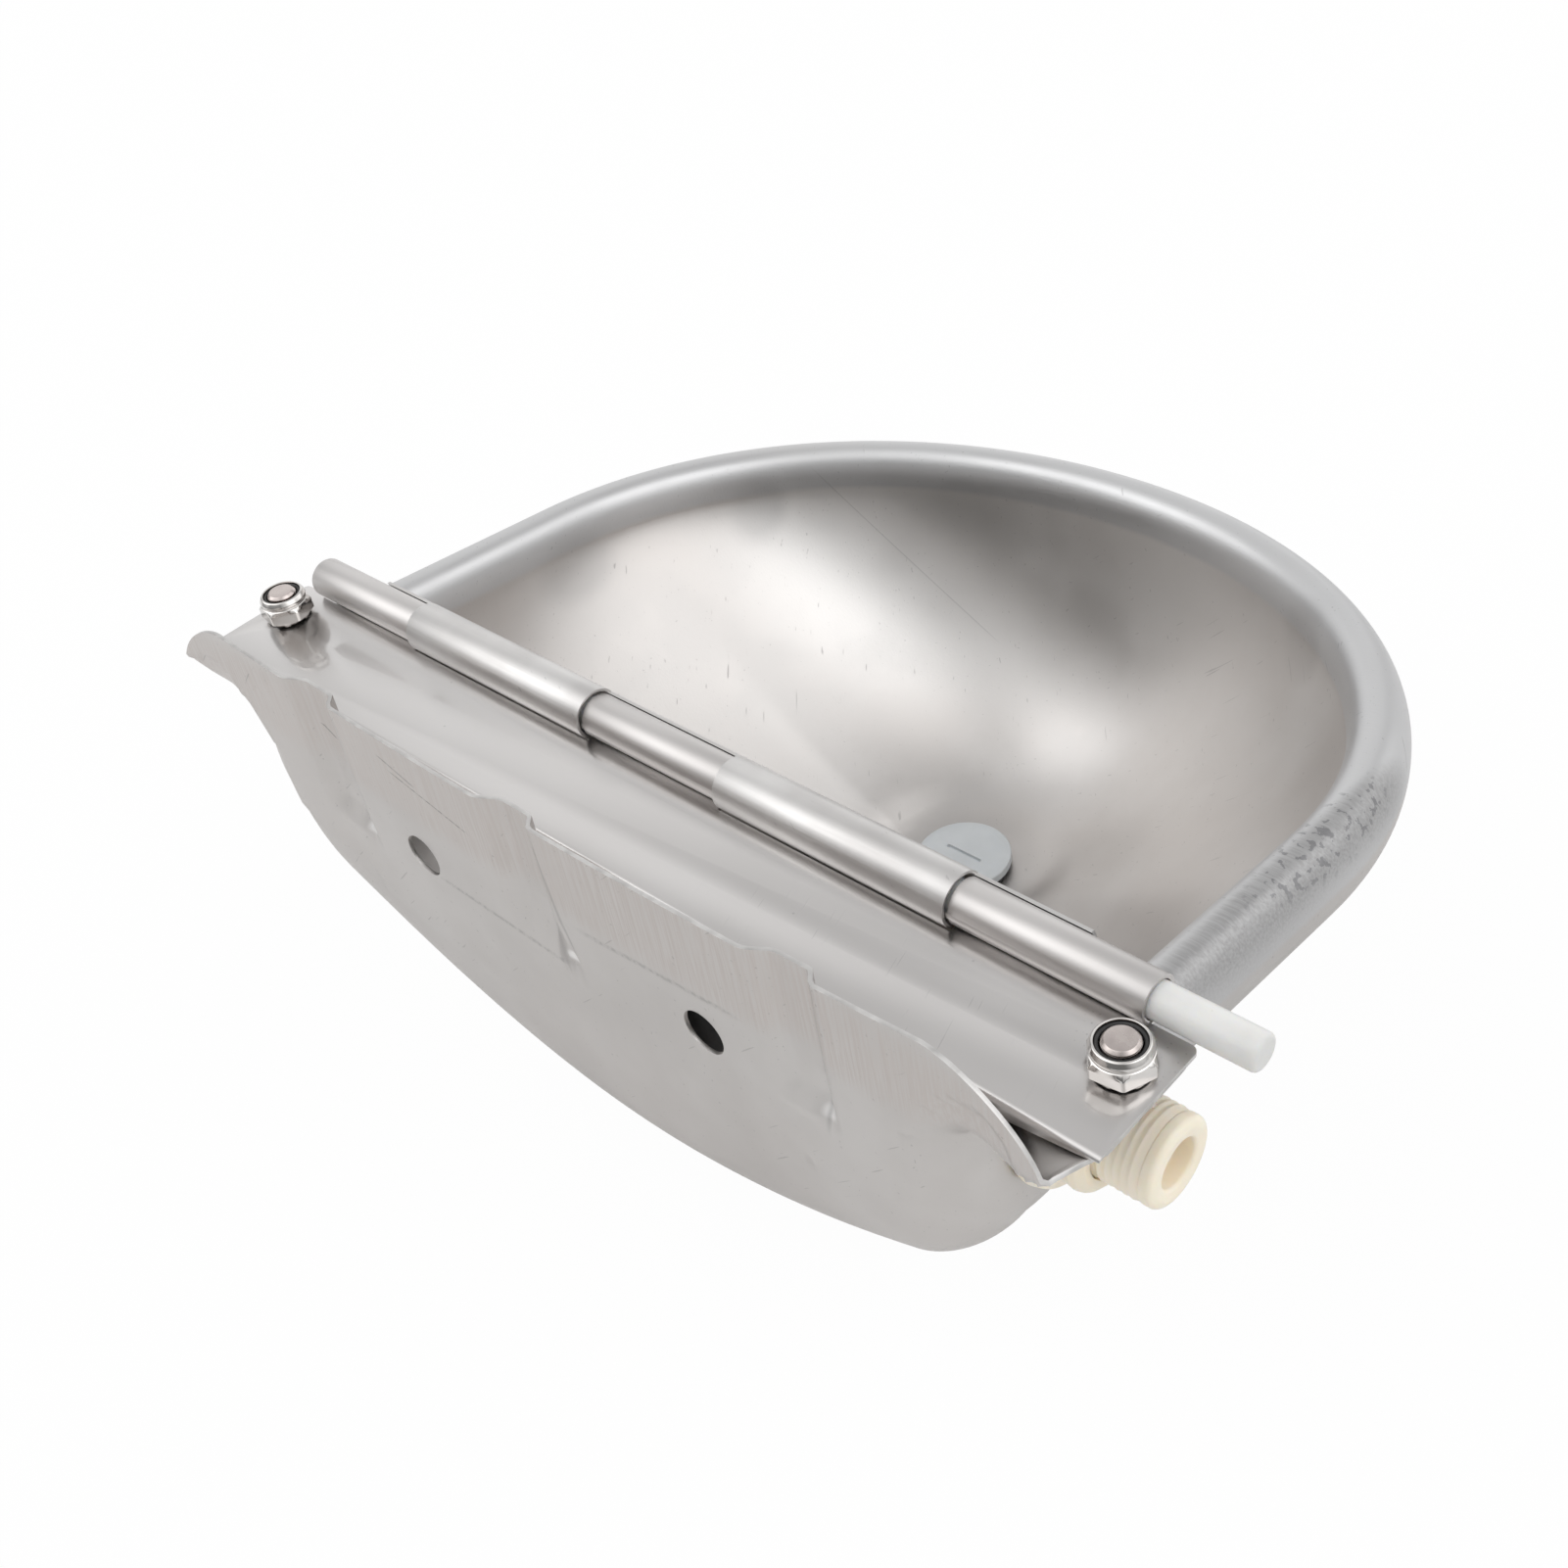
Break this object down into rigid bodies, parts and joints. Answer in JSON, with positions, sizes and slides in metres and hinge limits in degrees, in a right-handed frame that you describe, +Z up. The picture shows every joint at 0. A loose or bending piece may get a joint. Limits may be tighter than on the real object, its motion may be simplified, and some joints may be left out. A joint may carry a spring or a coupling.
{
  "type": "livestock drinking bowl",
  "caption": "Wall-mounted livestock drinking bowl: a pressed steel bowl with a rolled rim, a float valve under a bolted cover, a swinging baffle on a hinge rod and a drain plug.",
  "frame": {"origin": "on the flat rear face of the mounting plate, on the centre line, 25 mm below the two fixing holes", "axes": "+Y out of the rear face into the wall, -Y towards the drinking animal, +X along the hinge away from the water inlet, +Z up"},
  "size_m": [0.3104, 0.2408, 0.1398],
  "materials": {
    "bowl_steel": "satin stainless, brushed and lightly scuffed",
    "cover_steel": "smooth stainless, nearly mirror bright",
    "baffle_steel": "satin stainless",
    "nut_steel": "bright polished stainless",
    "bolt_steel": "plain stainless",
    "insert_nylon": "dark nylon",
    "pin_plastic": "white translucent plastic",
    "plug_plastic": "light cool grey, matte",
    "black_rubber": "matte black",
    "cream_plastic": "cream moulded plastic",
    "float_plastic": "white moulded plastic",
    "brass": "turned"
  },
  "bodies": {
    "base": {"bowl_shell": "bowl_steel", "cover_plate": "cover_steel", "cover_bolt_left": "bolt_steel", "cover_bolt_right": "bolt_steel", "lock_nut_left": "nut_steel", "lock_nut_right": "nut_steel", "nut_insert_left": "insert_nylon", "nut_insert_right": "insert_nylon", "drain_nut": "plug_plastic", "inlet_nut": "cream_plastic", "inlet_gasket": "black_rubber", "valve_body": "cream_plastic", "valve_seat": "brass", "arm_pivot_pin": "bolt_steel"},
    "baffle_body": {"baffle": "baffle_steel"},
    "pin_body": {"hinge_pin": "pin_plastic"},
    "plug_body": {"drain_plug": "plug_plastic", "drain_seal": "black_rubber"},
    "plunger_body": {"plunger": "float_plastic", "plunger_seal": "black_rubber"},
    "float_lever": {"float_arm": "float_plastic", "float": "float_plastic", "float_screw": "bolt_steel"}
  },
  "joints": [
    {"name": "baffle_swing", "type": "hinge", "parent": "base", "child": "baffle_body", "pos_m": [0, -0.0453, 0.0495], "axis": [-1, 0, 0], "range_deg": [-3, 95]},
    {"name": "pin_slide", "type": "slide", "parent": "base", "child": "pin_body", "axis": [-1, 0, 0], "range_m": [-0.02, 0.3]},
    {"name": "plug_lift", "type": "slide", "parent": "base", "child": "plug_body", "axis": [0, 0, 1], "range_m": [0, 0.06]},
    {"name": "float_swing", "type": "hinge", "parent": "base", "child": "float_lever", "pos_m": [-0.076, -0.0324, 0.0175], "axis": [0, -1, 0], "range_deg": [0, 16]},
    {"name": "plunger_slide", "type": "slide", "parent": "base", "child": "plunger_body", "axis": [-1, 0, 0], "range_m": [0, 0.0015]}
  ],
  "couplings": [
    {"joint": "plunger_slide", "follows": "float_swing", "m_per_rad": 0.005}
  ]
}
